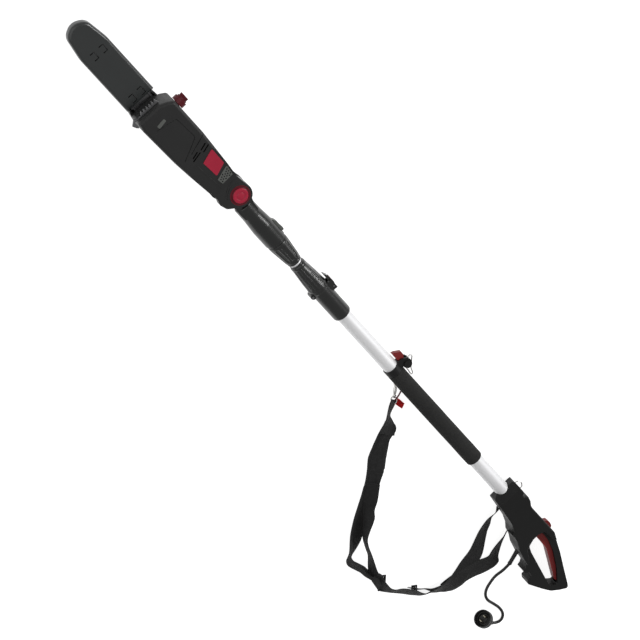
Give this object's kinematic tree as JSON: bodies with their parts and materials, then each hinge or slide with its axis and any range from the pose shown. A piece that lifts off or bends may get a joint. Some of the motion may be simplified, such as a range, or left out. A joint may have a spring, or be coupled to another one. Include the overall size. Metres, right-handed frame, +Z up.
{
  "type": "telescoping pole saw",
  "caption": "Corded pole chainsaw with tilting saw head under a scabbard, telescoping tube, foam grip, D-handle, carrying strap and short plug lead.",
  "frame": {"origin": "on the floor, on the head's flat underside beside the tilt axis, under the pole's axis", "axes": "+X from the saw head to the rear handle along the pole, +Y towards the tool's top side, +Z up from its flat right side"},
  "size_m": [1.76, 0.409, 0.0756],
  "materials": {
    "head_plastic": "satin moulded",
    "neck_plastic": "satin moulded",
    "handle_plastic": "fine texture",
    "scabbard_plastic": "satin",
    "red_plastic": "satin",
    "dark_red_plastic": "satin",
    "trigger_red": "satin",
    "tube_aluminium": "satin anodised",
    "steel": "bright",
    "wire_steel": "plated",
    "foam": "closed-cell foam",
    "webbing": "woven",
    "cord_rubber": "matt",
    "blade_brass": "bright",
    "tank_plastic": "translucent white",
    "grey_plastic": "satin",
    "bronze": "sintered",
    "tab_red": "coated tab"
  },
  "bodies": {
    "pole": {"outer_tube": "tube_aluminium", "collar_cone": "neck_plastic", "collar_sleeve": "neck_plastic", "lever_pin": "steel", "clamp_screw": "steel", "foam_grip": "foam", "strap_bracket": "handle_plastic", "bracket_bolt": "handle_plastic", "handle_shell_left": "handle_plastic", "handle_shell_right": "handle_plastic", "handle_screws": "steel", "switch_block": "grey_plastic", "strain_relief": "cord_rubber", "power_cord": "cord_rubber", "plug_body": "cord_rubber", "plug_blades": "blade_brass", "shoulder_pad": "webbing", "strap_webbing": "webbing", "strap_sliders": "handle_plastic", "snap_hook": "wire_steel", "release_tab": "tab_red"},
    "neck": {"inner_tube": "tube_aluminium", "tube_bush": "grey_plastic", "neck_shell_left": "neck_plastic", "neck_shell_right": "neck_plastic"},
    "coupling_nut": {"coupling_nut": "neck_plastic"},
    "neck_latch": {"neck_latch": "grey_plastic"},
    "saw_head": {"head_shell_left": "head_plastic", "head_shell_right": "head_plastic", "sprocket_cover": "head_plastic", "guide_bar": "steel", "saw_chain": "steel", "output_bearing": "bronze", "motor_can": "steel", "bar_stud": "steel", "bar_nut": "steel", "head_screws": "steel", "bumper_spikes": "steel", "oil_tank": "tank_plastic", "oil_pump": "grey_plastic", "oil_window": "grey_plastic", "badge_plate": "red_plastic", "vent_mesh": "grey_plastic", "knob_bezel": "dark_red_plastic", "tilt_spring": "steel", "pivot_pin": "steel"},
    "sprocket": {"drive_sprocket": "steel", "output_gear": "steel"},
    "motor_rotor": {"motor_armature": "steel", "motor_pinion": "steel"},
    "tilt_knob": {"tilt_knob": "red_plastic"},
    "oil_cap": {"oil_cap": "dark_red_plastic"},
    "scabbard": {"scabbard": "scabbard_plastic"},
    "clamp_lever": {"clamp_lever": "neck_plastic", "lever_pad": "dark_red_plastic"},
    "bracket_lever": {"bracket_lever": "trigger_red"},
    "bracket_clip": {"bracket_clip": "wire_steel"},
    "handle_clip": {"handle_clip": "wire_steel"},
    "trigger": {"trigger": "trigger_red"},
    "lock_off_button": {"lock_off_button": "trigger_red"}
  },
  "joints": [
    {"name": "telescope", "type": "slide", "parent": "pole", "child": "neck", "axis": [-1, 0, 0], "range_m": [0, 0.52]},
    {"name": "head_tilt", "type": "hinge", "parent": "neck", "child": "saw_head", "pos_m": [0, 0.008, 0.029], "axis": [0, 0, 1], "range_deg": [0, 45]},
    {"name": "sprocket_spin", "type": "hinge", "parent": "saw_head", "child": "sprocket", "pos_m": [-0.195, -0.01, 0.02], "axis": [0, 0, 1], "continuous": true},
    {"name": "motor_spin", "type": "hinge", "parent": "saw_head", "child": "motor_rotor", "pos_m": [-0.15, -0.005, 0.042], "axis": [1, 0, 0], "continuous": true},
    {"name": "tilt_knob_press", "type": "slide", "parent": "saw_head", "child": "tilt_knob", "axis": [0, 0, -1], "range_m": [0, 0.004], "stiffness_N_per_m": 1500, "springref_m": -0.003, "deforming": ["tilt_spring"]},
    {"name": "oil_cap_turn", "type": "hinge", "parent": "saw_head", "child": "oil_cap", "pos_m": [-0.24, 0.045, 0.053], "axis": [0, 1, 0], "continuous": true},
    {"name": "scabbard_slide", "type": "slide", "parent": "saw_head", "child": "scabbard", "axis": [-1, 0, 0], "range_m": [0, 0.24]},
    {"name": "coupling_nut_turn", "type": "hinge", "parent": "neck", "child": "coupling_nut", "pos_m": [0.18, 0, 0.029], "axis": [1, 0, 0], "range_deg": [0, 120]},
    {"name": "neck_latch_slide", "type": "slide", "parent": "neck", "child": "neck_latch", "axis": [1, 0, 0], "range_m": [0, 0.005], "stiffness_N_per_m": 600, "springref_m": -0.002},
    {"name": "clamp_lever_open", "type": "hinge", "parent": "pole", "child": "clamp_lever", "pos_m": [0.312, 0.0255, 0.029], "axis": [0, 0, -1], "range_deg": [0, 95]},
    {"name": "bracket_lever_flip", "type": "hinge", "parent": "pole", "child": "bracket_lever", "pos_m": [0.5565, 0.025, 0.029], "axis": [0, 0, -1], "range_deg": [0, 26]},
    {"name": "bracket_clip_swing", "type": "hinge", "parent": "pole", "child": "bracket_clip", "pos_m": [0.568, 0.0297, 0.029], "axis": [0, 0, 1], "range_deg": [0, 24]},
    {"name": "handle_clip_swing", "type": "hinge", "parent": "pole", "child": "handle_clip", "pos_m": [0.988, 0.026, 0.029], "axis": [1, 0, 0], "range_deg": [-30, 30]},
    {"name": "trigger_pull", "type": "hinge", "parent": "pole", "child": "trigger", "pos_m": [1.236, -0.041, 0.029], "axis": [0, 0, -1], "range_deg": [0, 3.2], "stiffness_Nm_per_rad": 8, "springref_deg": -1.72},
    {"name": "lock_off_press", "type": "slide", "parent": "pole", "child": "lock_off_button", "axis": [0, -1, 0], "range_m": [0, 0.0035], "stiffness_N_per_m": 800, "springref_m": -0.002}
  ],
  "couplings": [
    {"joint": "motor_spin", "follows": "sprocket_spin", "ratio": 4}
  ]
}
